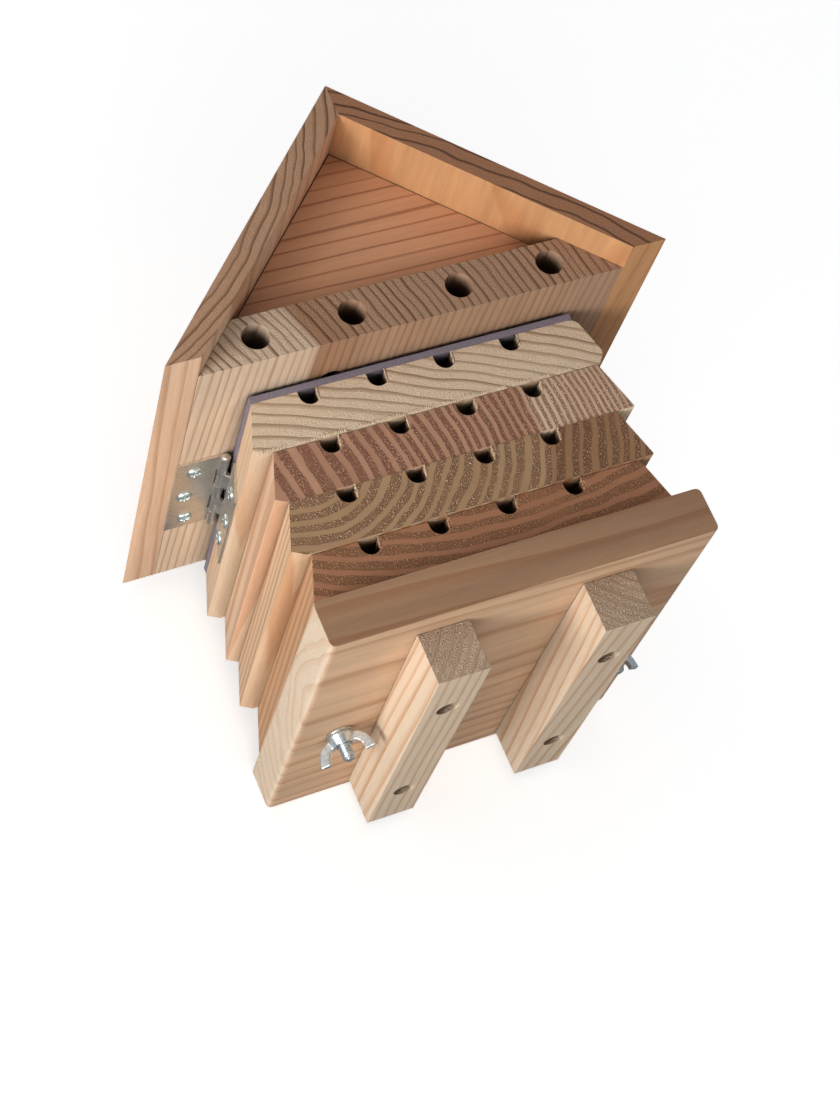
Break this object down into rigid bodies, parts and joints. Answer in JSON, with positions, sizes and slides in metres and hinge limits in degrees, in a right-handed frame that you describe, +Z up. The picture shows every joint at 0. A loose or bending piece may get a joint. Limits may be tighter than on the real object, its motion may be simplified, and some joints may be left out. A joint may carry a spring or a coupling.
{
  "type": "solitary bee nest box",
  "caption": "Solitary bee nest box: grooved nest trays stacked and clamped on a base board, under a hinged pitched roof whose block has drilled nest holes.",
  "frame": {"origin": "the middle of the box's footprint seen from above, on the plane the two battens rest on", "axes": "+Z up to the ridge of the roof, -Y to the front where the nest holes open, +X to the right of someone facing the front"},
  "size_m": [0.1884, 0.1762, 0.2124],
  "materials": {
    "base_wood": "planed untreated softwood, reddish brown front edge",
    "batten_wood": "planed untreated softwood, pale",
    "tray_1_wood": "sawn end grain, pale straw",
    "tray_2_wood": "sawn end grain, reddish brown",
    "tray_3_wood": "sawn end grain, grey brown",
    "tray_4_wood": "sawn end grain, brown",
    "grey_sheet": "thin grey violet fibre sheet, matt",
    "block_wood": "planed untreated softwood, pale",
    "roof_wood": "planed untreated softwood, orange brown",
    "gable_wood": "planed untreated softwood, orange brown",
    "hinge_zinc": "zinc plated pressed steel, lightly worn",
    "screw_zinc": "bright zinc plate",
    "bolt_zinc": "bright zinc plate",
    "nail_steel": "bright steel"
  },
  "bodies": {
    "base": {"base_board": "base_wood", "batten_left": "batten_wood", "batten_right": "batten_wood", "batten_screw_left_front": "screw_zinc", "batten_screw_left_back": "screw_zinc", "batten_screw_right_front": "screw_zinc", "batten_screw_right_back": "screw_zinc"},
    "tray_4": {"tray_4": "tray_4_wood"},
    "tray_3": {"tray_3": "tray_3_wood"},
    "tray_2": {"tray_2": "tray_2_wood"},
    "top_tray": {"tray_1": "tray_1_wood", "cover_sheet": "grey_sheet", "clamp_bolt_left": "bolt_zinc", "clamp_bolt_right": "bolt_zinc", "hinge_leaf_lower": "hinge_zinc", "hinge_pin": "hinge_zinc", "hinge_screw_lower_front": "screw_zinc", "hinge_screw_lower_middle": "screw_zinc", "hinge_screw_lower_back": "screw_zinc"},
    "roof": {"roof_block": "block_wood", "roof_board_left": "roof_wood", "roof_board_right": "roof_wood", "gable_panel_front": "gable_wood", "gable_panel_back": "gable_wood", "hinge_leaf_upper": "hinge_zinc", "hinge_screw_upper_front": "screw_zinc", "hinge_screw_upper_middle": "screw_zinc", "hinge_screw_upper_back": "screw_zinc", "roof_nail_left_front": "nail_steel", "roof_nail_left_back": "nail_steel", "roof_nail_right_front": "nail_steel", "roof_nail_right_back": "nail_steel"},
    "washer_left": {"washer_left": "bolt_zinc"},
    "wing_nut_left": {"wing_nut_left": "bolt_zinc"},
    "washer_right": {"washer_right": "bolt_zinc"},
    "wing_nut_right": {"wing_nut_right": "bolt_zinc"}
  },
  "joints": [
    {"name": "tray_4_lift", "type": "slide", "parent": "base", "child": "tray_4", "axis": [0, 0, 1], "range_m": [0, 0.03]},
    {"name": "tray_3_lift", "type": "slide", "parent": "tray_4", "child": "tray_3", "axis": [0, 0, 1], "range_m": [0, 0.03]},
    {"name": "tray_2_lift", "type": "slide", "parent": "tray_3", "child": "tray_2", "axis": [0, 0, 1], "range_m": [0, 0.03]},
    {"name": "top_tray_lift", "type": "slide", "parent": "tray_2", "child": "top_tray", "axis": [0, 0, 1], "range_m": [0, 0.092]},
    {"name": "roof_hinge", "type": "hinge", "parent": "top_tray", "child": "roof", "pos_m": [-0.0636, 0.01137, 0.11805], "axis": [0, -1, 0], "range_deg": [0, 70]},
    {"name": "washer_left_drop", "type": "slide", "parent": "base", "child": "washer_left", "axis": [0, 0, -1], "range_m": [0, 0.01]},
    {"name": "wing_nut_left_spin", "type": "hinge", "parent": "washer_left", "child": "wing_nut_left", "pos_m": [-0.0526, 0.02448, 0.015], "axis": [0, 0, -1], "range_deg": [0, 4510]},
    {"name": "washer_right_drop", "type": "slide", "parent": "base", "child": "washer_right", "axis": [0, 0, -1], "range_m": [0, 0.01]},
    {"name": "wing_nut_right_spin", "type": "hinge", "parent": "washer_right", "child": "wing_nut_right", "pos_m": [0.0574, 0.02448, 0.015], "axis": [0, 0, -1], "range_deg": [0, 4510]}
  ],
  "couplings": [
    {"joint": "wing_nut_left_spin", "follows": "washer_left_drop", "rad_per_m": 7854},
    {"joint": "wing_nut_right_spin", "follows": "washer_right_drop", "rad_per_m": 7854}
  ]
}
